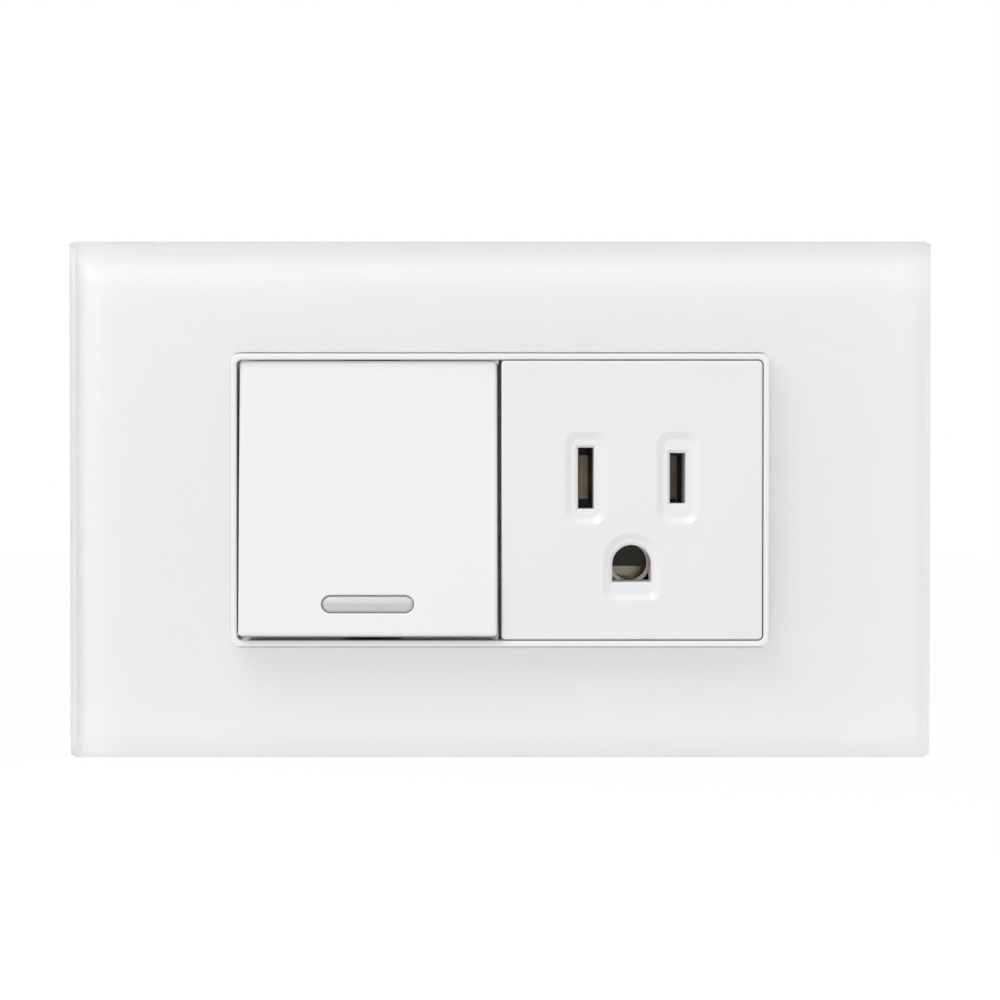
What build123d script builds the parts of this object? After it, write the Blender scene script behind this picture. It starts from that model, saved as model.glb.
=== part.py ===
"""Wall-mounted combination of a rocker switch and a grounded socket outlet behind one glass panel.

Millimetres, +Z up, +X to the right of someone facing the panel, who looks along +Y.
The origin is the middle of the back of the mounting strap, halfway between the two wall screws,
so the wall is the plane Y = 0, the panel stands at negative Y and the mechanism is behind the wall.
"""

import os

from build123d import *

# Glass panel
panel_width = 120.0
panel_height = 72.0
panel_stand = 9.0  # front of the glass above the wall
glass_thickness = 4.0
glass_corner = 0.4
long_edge_bevel = 1.6  # width of the ground bevel along the top and bottom edges
short_edge_bevel = 1.0
bevel_depth = 1.2
glass_opening_gap = 0.2
tape_thickness = 0.3
tape_inset = 2.6
tape_rim_gap = 4.1  # tape's inner edge from the rim

# Carrier behind the glass
carrier_inset = 1.5
carrier_web = 1.3
carrier_wall = 1.5
carrier_corner = 1.5
carrier_inner_corner = 0.75
carrier_rim_gap = 0.5
carrier_boss_gap = 0.5
carrier_wall_gap = 0.2  # between the carrier's edge and the wall
carrier_rib = 1.2
rib_edge = 15.0  # first rib from the inside corner of the carrier
rib_gap = 0.5  # between a rib's end and the flange
rib_drop = 1.0  # rib's edge in front of the edge of the wall
hook_edge = 26.0  # middle of a hook from the end of the flange
hook_gap = 0.15
hook_catch_gap = 0.05  # between a hook's step and the flange's back
hook_lead = 0.1
hook_width = 8.0
hook_thickness = 1.3
hook_bite = 0.9
pry_notch_width = 8.0
pry_notch_depth = 1.6

# Frame with the visible rim
opening_width = 72.9
opening_height = 38.9
rim_wall = 0.85
rim_proud = 2.0  # rim above the glass
rim_corner = 1.2
rim_edge_round = 0.3
flange_margin_x = 3.9  # panel's edge beyond the flange, left and right
flange_margin_z = 4.7  # panel's edge beyond the flange, above and below
flange_thickness = 2.0
flange_corner = 3.0
divider_thickness = 0.5
divider_height = 2.0
boss_radius = 2.1
boss_height = 3.5
boss_cap = 0.5
peg_radius = 1.2
peg_edge = 5.0  # middle of a peg from the edges of the strap

# Steel strap
strap_margin_x = 0.4  # flange's edge beyond the strap, left and right
strap_margin_z = 1.0  # flange's edge beyond the strap, above and below
strap_thickness = 1.2
strap_corner = 4.0
strap_window_gap = 0.1
strap_window_corner = 1.0
wall_screw_pitch = 83.5
wall_screw_slot_width = 4.2
wall_screw_slot_length = 7.0
screw_head_room = 8.4
strap_peg_gap = 0.1
strap_screw_gap = 0.2
screw_head_rim_gap = 0.75

# Mechanism bodies, one behind each half of the opening
body_side_gap = 0.3
body_end_gap = 0.3
body_middle_gap = 0.7
body_depth = 21.0  # behind the wall
body_wall = 1.8
body_corner = 1.2
chamber_floor = 10.8  # where the terminal strips lie, behind the wall
body_step_floor = 1.6
chamber_corner = 1.0
ear_width = 8.0
ear_corner = 2.0
ear_thickness = 2.0
ear_reach = 5.4
module_screw_offset = 2.9
module_screw_radius = 1.2
module_screw_head_radius = 2.2
module_screw_head_height = 1.6
module_screw_head_round = 0.4
module_screw_tip_gap = 1.0
cross_recess_length = 2.6
cross_recess_width = 0.6
cross_recess_depth = 0.8
screw_clearance = 0.2
thread_gap = 0.02

# Terminals
strip_thickness = 0.8
strip_height = 4.4
strip_contact_margin = 0.8  # strip beyond the side of its contact
branch_width = 3.0
branch_end = 1.4  # branch beyond the middle of its pin
cheek_gap = 0.4  # between the lever and a cheek
cheek_rise = 1.0  # cheek in front of the lever's axis
well_size = 8.0
well_corner = 0.5
well_wall = 2.7  # between a side well and the outside of the body
clamp_size = 7.0
clamp_thickness = 1.5
clamp_corner = 0.6
clamp_wire_gap = 2.4
clamp_screw_gap = 0.1
terminal_screw_radius = 1.5
terminal_screw_tip = 2.0
terminal_head_radius = 3.2
terminal_head_height = 2.3
terminal_head_round = 0.5
drive_slot_width = 0.9
drive_slot_depth = 1.0
wire_notch_width = 3.4
wire_notch_step = 0.2
switch_well_rise = 8.4

# Rocker
rocker_side_gap = 0.15
rocker_middle_gap = 0.4
rocker_end_gap = 0.2
rocker_proud = 0.6  # face above the rim when level
rocker_skirt = 3.2
rocker_draft = 4.5
rocker_wall = 1.8
rocker_skirt_wall = 1.5
rocker_edge_round = 0.5
rocker_corner = 0.7
rocker_inner_corner = 0.35
pivot_depth = 5.0  # pivot axis behind the rocker's face
rocker_tilt = 4.2  # degrees each way from level
pivot_pin_radius = 1.5
pivot_pin_gap = 0.06
pivot_pin_end = 0.15  # pin beyond its ear
pivot_lug_width = 6.0
pivot_lug_reach = 2.0  # lug behind the pivot axis
pivot_lug_inset = 0.1
rocker_rib = 1.0
rocker_rib_height = 1.6
rocker_rib_pitch = 8.5
rocker_rib_end_x = 5.4  # rib's end from the side of the rocker
rocker_rib_end_z = 7.7

# Indicator window
window_length = 12.7
window_height = 2.4
window_edge = 4.55  # middle of the window above the rocker's lower edge
window_edge_round = 0.25
window_recess = 0.25
window_gap = 0.04
window_flange = 1.0
window_flange_rim = 0.8
window_dome = 0.6

# Plunger and lever
plunger_radius = 1.6
plunger_tip_gap = 0.05
plunger_tail = 5.4
plunger_gap = 0.05
plunger_tube_wall = 1.1
plunger_nose = 1.15  # centre of the round tip beyond the tube's end
spring_seat = 1.4
spring_radius = 1.05
spring_wire = 0.36
spring_turns = 5
lever_fulcrum = 7.0  # behind the wall
lever_tilt = 11.0
lever_length = 17.0
lever_width = 5.0
lever_thickness = 0.8
lever_corner = 1.6
lever_pin_span = 8.4
lever_pin_gap = 0.05
contact_edge = 1.5  # middle of a contact from the lever's end
contact_radius = 1.2
contact_thickness = 0.7
contact_round = 0.4
fixed_contact_round = 0.3
closed_contact_gap = 0.23  # between the middles of two rivets that nearly meet at their rims

# Cradle over the switch body
cover_front = 4.0  # in front of the wall
cover_thickness = 1.6
cover_opening_width = 8.0
cover_opening_height = 9.0
cover_opening_corner = 1.0
pivot_ear_gap = 0.85  # between an ear and the rocker's skirt
pivot_ear_thickness = 1.3
pivot_ear_radius = 2.7
stop_gap = 0.1  # between a stop and the rocker at the end of its travel
stop_thickness = 1.2
stop_corner = 0.3
stop_end_gap = 1.4  # between a stop's end and the pivot ears
latch_side = 3.4  # latch from the side of the body
latch_width = 5.0
latch_thickness = 1.2
latch_tip = 3.0  # behind the wall
latch_bite = 0.7
latch_nose = 1.8
latch_gap = 0.1
latch_end_gap = 0.4

# Indicator board
board_width = 22.0
board_height = 6.8
board_corner = 0.5
board_thickness = 0.8
board_rise = 0.8  # middle of the board above the middle of the window
board_rail = 0.6
board_rail_width = 1.0
board_rail_edge = 0.8  # middle of a rail from the edge of the board
board_rail_end = 1.0
board_pin_gap = 0.1
board_pin_tail = 0.6
lamp_length = 4.0
lamp_height = 2.0
lamp_depth = 1.6
lamp_base = 0.8
lamp_base_corner = 0.2
lamp_dome_length = 3.2
lamp_dome_height = 1.4
lamp_dome_round = 0.4
lamp_resistor_gap = 1.7
resistor_radius = 0.8
resistor_length = 3.6
resistor_cap = 0.9
resistor_shoulder = 0.2
resistor_waist = 0.68
board_pin_radius = 0.4
board_pin_pitch = 18.0
board_pin_edge = 0.5  # pin from the lower edge of the terminal's pad

# Socket outlet
face_proud = 0.1
face_wall = 2.4
face_skirt_wall = 1.5
face_gap = 0.15
face_edge_round = 0.35
face_corner = 0.6
face_inner_corner = 0.3
socket_split = 3.3  # front of the socket body, in front of the wall
blade_pitch = 12.7
blade_slot_width = 2.18
neutral_slot_length = 8.5
line_slot_length = 7.0
blade_rise = 3.05  # blade slots above the middle of the face
ground_drop = 8.9  # round end of the ground hole below the middle
ground_hole_radius = 2.7
ground_hole_flat = 2.45
dish_depth = 0.5
dish_slope = 0.9
blade_dish_width = 5.8
blade_dish_height = 12.8
blade_dish_corner = 1.8
ground_dish_radius = 4.0
ground_dish_height = 9.4
ground_dish_corner = 1.5
ground_dish_rise = 0.4
slot_lead_in = 0.35
collar_wall = 1.1
clip_chamber_width = 6.8
clip_chamber_height = 9.2
clip_chamber_corner = 0.5
clip_chamber_end = 0.3  # chamber's end short of the well's side
clip_length = 6.5
clip_gap = 0.65  # half the opening at the pinch
clip_mouth = 1.9
clip_metal = 0.6
ground_clip_radius = 3.1
ground_clip_depth = 9.0
blade_well_offset = 11.2
ground_well_drop = 12.0
ground_chamber_radius = 4.0
ground_strap_width = 4.0
ground_strap_gap = 0.4
ground_strap_side_gap = 0.2
ground_ring_gap = 0.7  # between the face's collar and the ring
ground_split_width = 1.6
ground_split_rest = 0.5
ground_neck_width = 3.0
ground_neck_depth = 0.9
ground_neck_lap = 0.5
ground_tip_room = 0.5
clip_tab_height = 4.6
clip_lead = 2.4  # from the mouth to the pinch
clip_bow_start = 6.4  # from the mouth to where the leaves run parallel
clip_chamber_gap = 0.5

# Places worked out from the sizes above
glass_front = -panel_stand
glass_back = glass_front + glass_thickness
tape_back = glass_back + tape_thickness
carrier_back = tape_back + carrier_web
rim_front = glass_front - rim_proud
rim_width = opening_width + 2 * rim_wall
rim_height = opening_height + 2 * rim_wall
strap_front = -strap_thickness
flange_front = strap_front - flange_thickness
carrier_width = panel_width - 2 * carrier_inset
carrier_height = panel_height - 2 * carrier_inset
flange_width = panel_width - 2 * flange_margin_x
flange_height = panel_height - 2 * flange_margin_z
strap_width = flange_width - 2 * strap_margin_x
strap_height = flange_height - 2 * strap_margin_z
peg_pitch_x = strap_width - 2 * peg_edge
peg_pitch_z = strap_height - 2 * peg_edge

rocker_width = opening_width / 2 - rocker_side_gap - rocker_middle_gap / 2
rocker_height = opening_height - 2 * rocker_end_gap
module_x = rocker_width / 2 + rocker_middle_gap / 2
pivot_y = rim_front - rocker_proud + pivot_depth
body_width = opening_width / 2 - body_side_gap - body_middle_gap / 2
body_height = opening_height - 2 * body_end_gap
body_x = body_width / 2 + body_middle_gap / 2
module_screw_z = opening_height / 2 + module_screw_offset
ear_top = body_height / 2 + ear_reach
strip_front = chamber_floor - strip_thickness
cover_back = cover_thickness - cover_front
clamp_front = chamber_floor + clamp_wire_gap
head_base = clamp_front + clamp_thickness
latch_pitch = body_width - latch_width - 2 * latch_side
switch_well_offset = body_width / 2 - well_wall - well_size / 2
pivot_ear_face = rocker_width / 2 - rocker_skirt_wall - pivot_ear_gap - pivot_ear_thickness
pivot_pin_length = pivot_ear_gap + pivot_ear_thickness + pivot_pin_end
stop_length = 2 * (pivot_ear_face - stop_end_gap)
window_drop = rocker_height / 2 - window_edge
board_drop = window_drop - board_rise
board_pin_drop = switch_well_rise + clamp_size / 2 - board_pin_edge
plunger_reach = lever_fulcrum - lever_thickness - plunger_tip_gap - plunger_radius - pivot_y
plunger_tube_reach = plunger_reach - plunger_nose
skirt_base = pivot_depth - rocker_skirt
contact_reach = lever_length / 2 - contact_edge
switch_wells = [
    (switch_well_offset, 0),
    (-switch_well_offset, switch_well_rise),
    (-switch_well_offset, -switch_well_rise),
]
socket_wells = [
    (-blade_well_offset, blade_rise),
    (blade_well_offset, blade_rise),
    (blade_well_offset, -ground_well_drop),
]


def facing_user(y, x=0.0, z=0.0):
    """Plane parallel to the wall at depth y, whose normal points at the user and whose Y is up."""
    return Plane(origin=(x, y, z), x_dir=(1, 0, 0), z_dir=(0, -1, 0))


def slab(depths, size, centre=(0.0, 0.0), radius=0.0, mode=Mode.ADD):
    """Rounded rectangle parallel to the wall, from one depth to the other."""
    back = max(depths)
    with BuildSketch(facing_user(back, *centre)) as outline:
        if radius > 0:
            RectangleRounded(*size, radius)
        else:
            Rectangle(*size)
    extrude(outline.sketch, amount=back - min(depths), mode=mode)


def rod(depths, radius, centre=(0.0, 0.0), mode=Mode.ADD):
    """Round bar square to the wall, from one depth to the other."""
    back = max(depths)
    with BuildSketch(facing_user(back, *centre)) as outline:
        Circle(radius)
    extrude(outline.sketch, amount=back - min(depths), mode=mode)


def save(part, name):
    """Labels a finished piece and writes it."""
    part.label = name
    export_step(part, "parts/" + name + ".step")


# Tilted planes of the rocker at its stop and of the lever under it
rocker_plane = facing_user(pivot_y, -module_x).rotated((-rocker_tilt, 0, 0))
lever_plane = facing_user(lever_fulcrum, -module_x).rotated((lever_tilt, 0, 0))
stop_front = rocker_plane.from_local_coords((0, rocker_height / 2, skirt_base)).Y + stop_gap
closed_contact = lever_plane.from_local_coords((0, -contact_reach, -contact_thickness)).Y
fixed_contact_front = closed_contact + closed_contact_gap

os.makedirs("parts", exist_ok=True)

# Glass panel: back-painted pane with ground bevels and one rectangular opening
with BuildPart() as glass_panel:
    slab((glass_back, glass_front + bevel_depth), (panel_width, panel_height), radius=glass_corner)
    with BuildSketch(facing_user(glass_front + bevel_depth)) as bevel_foot:
        RectangleRounded(panel_width, panel_height, glass_corner)
    with BuildSketch(facing_user(glass_front)) as bevel_top:
        RectangleRounded(
            panel_width - 2 * short_edge_bevel, panel_height - 2 * long_edge_bevel, glass_corner
        )
    loft([bevel_foot.sketch.face(), bevel_top.sketch.face()], ruled=True)
    slab(
        (glass_back, glass_front),
        (rim_width + 2 * glass_opening_gap, rim_height + 2 * glass_opening_gap),
        radius=rim_corner + glass_opening_gap,
        mode=Mode.SUBTRACT,
    )
save(glass_panel.part, "glass_panel")

# Bonding tape: one ring between the glass and the carrier
with BuildPart() as bonding_tape:
    tape_size = (panel_width - 2 * tape_inset, panel_height - 2 * tape_inset)
    slab((tape_back, glass_back), tape_size, radius=carrier_corner)
    slab(
        (tape_back, glass_back),
        (rim_width + 2 * tape_rim_gap, rim_height + 2 * tape_rim_gap),
        radius=carrier_corner,
        mode=Mode.SUBTRACT,
    )
save(bonding_tape.part, "bonding_tape")

# Carrier: moulded ring with a perimeter wall, stiffening ribs, four snap hooks and a pry notch
with BuildPart() as panel_carrier:
    carrier_opening = (rim_width + 2 * carrier_rim_gap, rim_height + 2 * carrier_rim_gap)
    slab((-carrier_wall_gap, tape_back), (carrier_width, carrier_height), radius=carrier_corner)
    slab(
        (-carrier_wall_gap, carrier_back),
        (carrier_width - 2 * carrier_wall, carrier_height - 2 * carrier_wall),
        radius=carrier_inner_corner,
        mode=Mode.SUBTRACT,
    )
    slab(
        (carrier_back, tape_back), carrier_opening,
        radius=rim_corner + carrier_rim_gap, mode=Mode.SUBTRACT,
    )
    for x in (-body_x, body_x):
        slab(
            (carrier_back, tape_back),
            (2 * (boss_radius + carrier_boss_gap), 2 * (module_screw_z + boss_radius + carrier_boss_gap)),
            centre=(x, 0),
            mode=Mode.SUBTRACT,
        )
    rib_reach_x = (carrier_width - flange_width) / 2 - carrier_wall / 2 - rib_gap
    rib_reach_z = (carrier_height - flange_height) / 2 - carrier_wall / 2 - rib_gap
    rib_x = carrier_width / 2 - carrier_wall - rib_edge
    rib_z = carrier_height / 2 - carrier_wall - rib_edge
    for side in (-1, 1):
        for z in (-rib_z, 0, rib_z):
            slab(
                (-carrier_wall_gap - rib_drop, carrier_back),
                (rib_reach_x, carrier_rib),
                centre=(side * (carrier_width / 2 - carrier_wall / 2 - rib_reach_x / 2), z),
            )
        for x in (-rib_x, -rib_x / 3, rib_x / 3, rib_x):
            slab(
                (-carrier_wall_gap - rib_drop, carrier_back),
                (carrier_rib, rib_reach_z),
                centre=(x, side * (carrier_height / 2 - carrier_wall / 2 - rib_reach_z / 2)),
            )
    hook_root = flange_height / 2 + hook_gap
    hook_x = flange_width / 2 - hook_edge
    hook_step = strap_front + hook_catch_gap
    hook_tip = -carrier_wall_gap - hook_lead
    for side in (-1, 1):
        for x in (-hook_x, hook_x):
            with BuildSketch(Plane(origin=(x, 0, 0), x_dir=(0, 1, 0), z_dir=(1, 0, 0))) as hook:
                with BuildLine():
                    Polyline(
                        (carrier_back, side * hook_root),
                        (hook_step, side * hook_root),
                        (hook_step, side * (hook_root - hook_bite)),
                        (hook_tip, side * (hook_root - hook_lead)),
                        (hook_tip, side * (hook_root + hook_thickness)),
                        (carrier_back, side * (hook_root + hook_thickness)),
                        close=True,
                    )
                make_face()
            extrude(hook.sketch, amount=hook_width / 2, both=True)
    slab(
        (-carrier_wall_gap, -carrier_wall_gap - pry_notch_depth),
        (pry_notch_width, 2 * carrier_wall),
        centre=(0, -carrier_height / 2),
        mode=Mode.SUBTRACT,
    )
save(panel_carrier.part, "panel_carrier")

# Frame: flange on the strap and a thin-walled collar whose rim stands proud of the glass
with BuildPart() as module_frame:
    slab((strap_front, rim_front), (rim_width, rim_height), radius=rim_corner)
    slab((strap_front, flange_front), (flange_width, flange_height), radius=flange_corner)
    for x in (-body_x, body_x):
        for z in (-module_screw_z, module_screw_z):
            rod((strap_front, strap_front - boss_height), boss_radius, (x, z))
    slab(
        (strap_front, rim_front), (opening_width, opening_height),
        radius=rim_corner - rim_wall / 2, mode=Mode.SUBTRACT,
    )
    slab((strap_front, strap_front - divider_height), (divider_thickness, opening_height + rim_wall))
    rim_edges = module_frame.edges().filter_by_position(Axis.Y, rim_front - 0.01, rim_front + 0.01)
    fillet(rim_edges, rim_edge_round)
    for x in (-body_x, body_x):
        for z in (-module_screw_z, module_screw_z):
            rod(
                (strap_front, strap_front - boss_height + boss_cap),
                module_screw_radius + thread_gap, (x, z), Mode.SUBTRACT,
            )
    notch_start = rim_width / 2 + screw_head_rim_gap
    notch_length = flange_width / 2 - notch_start
    for side in (-1, 1):
        with BuildSketch(facing_user(strap_front, side * (notch_start + notch_length), 0)) as notch:
            SlotOverall(2 * notch_length, screw_head_room)
        extrude(notch.sketch, amount=flange_thickness, mode=Mode.SUBTRACT)
    for x in (-peg_pitch_x / 2, peg_pitch_x / 2):
        for z in (-peg_pitch_z / 2, peg_pitch_z / 2):
            rod((0, strap_front), peg_radius, (x, z))
save(module_frame.part, "module_frame")

# Strap: stamped steel plate with a window, two wall-screw slots and holes for pegs and screws
with BuildPart() as steel_yoke:
    slab((0, strap_front), (strap_width, strap_height), radius=strap_corner)
    slab(
        (0, strap_front),
        (opening_width + 2 * strap_window_gap, opening_height + 2 * strap_window_gap),
        radius=strap_window_corner, mode=Mode.SUBTRACT,
    )
    with BuildSketch(facing_user(0)) as wall_screw_slots:
        with Locations((-wall_screw_pitch / 2, 0), (wall_screw_pitch / 2, 0)):
            SlotOverall(wall_screw_slot_length, wall_screw_slot_width)
    extrude(wall_screw_slots.sketch, amount=strap_thickness, mode=Mode.SUBTRACT)
    with BuildSketch(facing_user(0)) as strap_holes:
        with GridLocations(peg_pitch_x, peg_pitch_z, 2, 2):
            Circle(peg_radius + strap_peg_gap)
        with GridLocations(2 * body_x, 2 * module_screw_z, 2, 2):
            Circle(module_screw_radius + strap_screw_gap)
    extrude(strap_holes.sketch, amount=strap_thickness, mode=Mode.SUBTRACT)
save(steel_yoke.part, "steel_yoke")


def mechanism_body(front, centre_x, wells, cut_corners, latch_sides=(-1, 1)):
    """Block, screw ears, stepped corners, terminal wells, wire notches and latch grooves of a body."""
    half = body_width / 2
    slab((body_depth, front), (body_width, body_height), centre=(centre_x, 0), radius=body_corner)
    slab((ear_thickness, 0), (ear_width, 2 * ear_top), centre=(centre_x, 0), radius=ear_corner)
    for z in (-module_screw_z, module_screw_z):
        rod((ear_thickness, 0), module_screw_radius + screw_clearance, (centre_x, z), Mode.SUBTRACT)
    for x, z, width, height in cut_corners:
        slab(
            (body_depth, chamber_floor + body_step_floor), (width, height),
            centre=(centre_x + x, z), mode=Mode.SUBTRACT,
        )
    for x, z in wells:
        slab(
            (body_depth, chamber_floor), (well_size, well_size),
            centre=(centre_x + x, z), radius=well_corner, mode=Mode.SUBTRACT,
        )
        wall_side = 1 if x > 0 else -1
        slab(
            (body_depth, chamber_floor + wire_notch_step), (half - abs(x), wire_notch_width),
            centre=(centre_x + wall_side * (half + abs(x)) / 2, z), mode=Mode.SUBTRACT,
        )
    groove = latch_thickness + latch_gap
    for side in latch_sides:
        for x in (-latch_pitch / 2, latch_pitch / 2):
            slab(
                (latch_tip + latch_end_gap, front), (latch_width + 2 * latch_gap, groove),
                centre=(centre_x + x, side * (body_height / 2 - groove / 2)), mode=Mode.SUBTRACT,
            )
            slab(
                (latch_tip + latch_end_gap, latch_tip - latch_nose - latch_gap),
                (latch_width + 2 * latch_gap, groove + latch_bite),
                centre=(centre_x + x, side * (body_height / 2 - (groove + latch_bite) / 2)),
                mode=Mode.SUBTRACT,
            )


def latches(centre_x, root_y):
    """Four snap legs that reach back from a cover into the grooves of its body."""
    outer = body_height / 2
    inner = outer - latch_thickness
    for side in (-1, 1):
        for x in (-latch_pitch / 2, latch_pitch / 2):
            plane = Plane(origin=(centre_x + x, 0, 0), x_dir=(0, 1, 0), z_dir=(1, 0, 0))
            with BuildSketch(plane) as leg:
                with BuildLine():
                    Polyline(
                        (root_y, side * outer),
                        (latch_tip, side * outer),
                        (latch_tip, side * inner),
                        (latch_tip - latch_nose, side * (inner - latch_bite)),
                        (latch_tip - latch_nose, side * inner),
                        (root_y, side * inner),
                        close=True,
                    )
                make_face()
            extrude(leg.sketch, amount=latch_width / 2, both=True)


# Switch body: open chamber for the lever, and a stepped back with three terminal wells
with BuildPart() as switch_body:
    step_x = body_width / 2 - (switch_well_offset - well_size / 2 - body_wall)
    step_z = body_height / 2 - well_size / 2 - body_wall
    step_centre = body_width / 2 - step_x / 2
    cut_corners = [
        (step_centre, side * (body_height / 2 - step_z / 2), step_x, step_z) for side in (-1, 1)
    ]
    mechanism_body(cover_back, -body_x, switch_wells, cut_corners)
    slab(
        (chamber_floor, cover_back),
        (body_width - 2 * body_wall, body_height - 2 * (latch_thickness + latch_bite + body_wall)),
        centre=(-body_x, 0), radius=chamber_corner, mode=Mode.SUBTRACT,
    )
save(switch_body.part, "switch_body")

# Switch cover: cradle plate with the pivot ears and the stops that end the rocker's travel
with BuildPart() as switch_cover:
    slab((cover_back, -cover_front), (body_width, body_height), centre=(-body_x, 0), radius=body_corner)
    slab(
        (cover_back, -cover_front), (cover_opening_width, cover_opening_height),
        centre=(-module_x, 0), radius=cover_opening_corner, mode=Mode.SUBTRACT,
    )
    for side in (-1, 1):
        inner_face = side * pivot_ear_face - module_x
        ear_plane = Plane(origin=(inner_face, pivot_y, 0), x_dir=(0, 1, 0), z_dir=(side, 0, 0))
        with BuildSketch(ear_plane) as pivot_ear:
            Circle(pivot_ear_radius)
            with Locations(((-cover_front - pivot_y) / 2, 0)):
                Rectangle(-cover_front - pivot_y, 2 * pivot_ear_radius)
            Circle(pivot_pin_radius + pivot_pin_gap, mode=Mode.SUBTRACT)
        extrude(pivot_ear.sketch, amount=pivot_ear_thickness)
        slab(
            (-cover_front, stop_front), (stop_length, stop_thickness),
            centre=(-module_x, side * (opening_height / 2 - rocker_end_gap - rocker_skirt_wall / 2)),
            radius=stop_corner,
        )
        slab(
            (-cover_front, -cover_front - board_rail), (board_width - 2 * board_rail_end, board_rail_width),
            centre=(-module_x, -board_drop + side * (board_height / 2 - board_rail_edge)),
        )
    for x in (-board_pin_pitch / 2, board_pin_pitch / 2):
        rod(
            (cover_back, -cover_front - board_rail), board_pin_radius + board_pin_gap,
            (x - module_x, -board_pin_drop), Mode.SUBTRACT,
        )
    latches(-body_x, cover_back)
save(switch_cover.part, "switch_cover")

# Rocker: drafted shell with ribs, two pivot lugs and the tube for the plunger, tilted at its stop
rocker_normal = Axis(rocker_plane.origin, rocker_plane.z_dir)
with BuildPart() as rocker_button:
    with BuildSketch(rocker_plane.offset(skirt_base)) as skirt_outline:
        RectangleRounded(rocker_width, rocker_height, rocker_corner)
    extrude(skirt_outline.sketch, amount=rocker_skirt, taper=rocker_draft)
    fillet(rocker_button.faces().sort_by(rocker_normal)[-1].edges(), rocker_edge_round)
    with BuildSketch(rocker_plane.offset(skirt_base)) as hollow:
        RectangleRounded(
            rocker_width - 2 * rocker_skirt_wall,
            rocker_height - 2 * rocker_skirt_wall,
            rocker_inner_corner,
        )
    extrude(hollow.sketch, amount=rocker_skirt - rocker_wall, taper=rocker_draft, mode=Mode.SUBTRACT)
    with BuildSketch(rocker_plane.offset(pivot_depth - rocker_wall)) as ribs:
        with Locations((-rocker_rib_pitch, 0), (rocker_rib_pitch, 0)):
            Rectangle(rocker_rib, rocker_height - 2 * rocker_rib_end_z)
        with Locations((0, rocker_rib_pitch), (0, -rocker_rib_pitch)):
            Rectangle(rocker_width - 2 * rocker_rib_end_x, rocker_rib)
    extrude(ribs.sketch, amount=-rocker_rib_height)
    for side in (-1, 1):
        outer_face = side * (rocker_width / 2 - pivot_lug_inset)
        lug_thickness = rocker_skirt_wall - pivot_lug_inset
        lug_height = pivot_depth - rocker_wall + pivot_lug_reach
        with BuildSketch(rocker_plane.offset(pivot_depth - rocker_wall)) as lug:
            with Locations((outer_face - side * lug_thickness / 2, 0)):
                Rectangle(lug_thickness, pivot_lug_width)
        extrude(lug.sketch, amount=-lug_height)
        pin_plane = Plane(
            origin=rocker_plane.from_local_coords((outer_face - side * lug_thickness / 2, 0, 0)),
            x_dir=(0, 1, 0), z_dir=(-side, 0, 0),
        )
        with BuildSketch(pin_plane) as pin:
            Circle(pivot_pin_radius)
        extrude(pin.sketch, amount=pivot_pin_length + lug_thickness / 2)
    with BuildSketch(rocker_plane.offset(-plunger_tube_reach)) as tube:
        Circle(plunger_radius + plunger_gap + plunger_tube_wall)
    extrude(tube.sketch, amount=plunger_tube_reach + pivot_depth - rocker_wall)
    with BuildSketch(rocker_plane.offset(-plunger_tube_reach)) as bore:
        Circle(plunger_radius + plunger_gap)
    extrude(bore.sketch, amount=plunger_tube_reach - spring_seat, mode=Mode.SUBTRACT)
    with BuildSketch(rocker_plane.offset(pivot_depth - rocker_wall - window_flange)) as window:
        with Locations((0, -window_drop)):
            SlotOverall(window_length + 2 * window_gap, window_height + 2 * window_gap)
    extrude(window.sketch, amount=rocker_wall + window_flange, mode=Mode.SUBTRACT)
    rocker_face = rocker_button.faces().sort_by(rocker_normal)[-1]
    fillet(rocker_face.inner_wires()[0].edges(), window_edge_round)
save(rocker_button.part, "rocker_button")

# Indicator lens: oblong light guide with a flange behind the rocker's wall and a crowned front
with BuildPart() as indicator_lens:
    lens_back = pivot_depth - rocker_wall - window_flange
    with BuildSketch(rocker_plane.offset(lens_back)) as lens_flange:
        with Locations((0, -window_drop)):
            SlotOverall(window_length + 2 * window_flange_rim, window_height + 2 * window_flange_rim)
    extrude(lens_flange.sketch, amount=window_flange)
    with BuildSketch(rocker_plane.offset(lens_back)) as lens_body:
        with Locations((0, -window_drop)):
            SlotOverall(window_length, window_height)
    extrude(lens_body.sketch, amount=rocker_wall + window_flange - window_recess)
    fillet(indicator_lens.faces().sort_by(rocker_normal)[-1].edges(), window_dome)
save(indicator_lens.part, "indicator_lens")

# Plunger: hollow round-nosed pin that slides in the rocker's tube
with BuildPart() as plunger:
    with BuildSketch(rocker_plane.offset(-plunger_tail)) as plunger_shank:
        Circle(plunger_radius)
    extrude(plunger_shank.sketch, amount=plunger_tail - plunger_reach)
    with Locations(rocker_plane.offset(-plunger_reach).location):
        Sphere(plunger_radius)
save(plunger.part, "plunger")

# Plunger spring: helical coil between the bottom of the bore and the plunger
with BuildPart() as plunger_spring:
    spring_length = plunger_tail - spring_seat - spring_wire - 2 * thread_gap
    spring_start = rocker_plane.offset(-spring_seat - spring_wire / 2 - thread_gap)
    with BuildLine() as coil:
        Helix(
            spring_length / spring_turns, spring_length, spring_radius,
            center=spring_start.origin, direction=-rocker_plane.z_dir,
        )
    with BuildSketch(Plane(origin=coil.line @ 0, z_dir=coil.line % 0)) as spring_section:
        Circle(spring_wire / 2)
    sweep(spring_section.sketch, path=coil.line, is_frenet=True)
save(plunger_spring.part, "plunger_spring")

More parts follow.
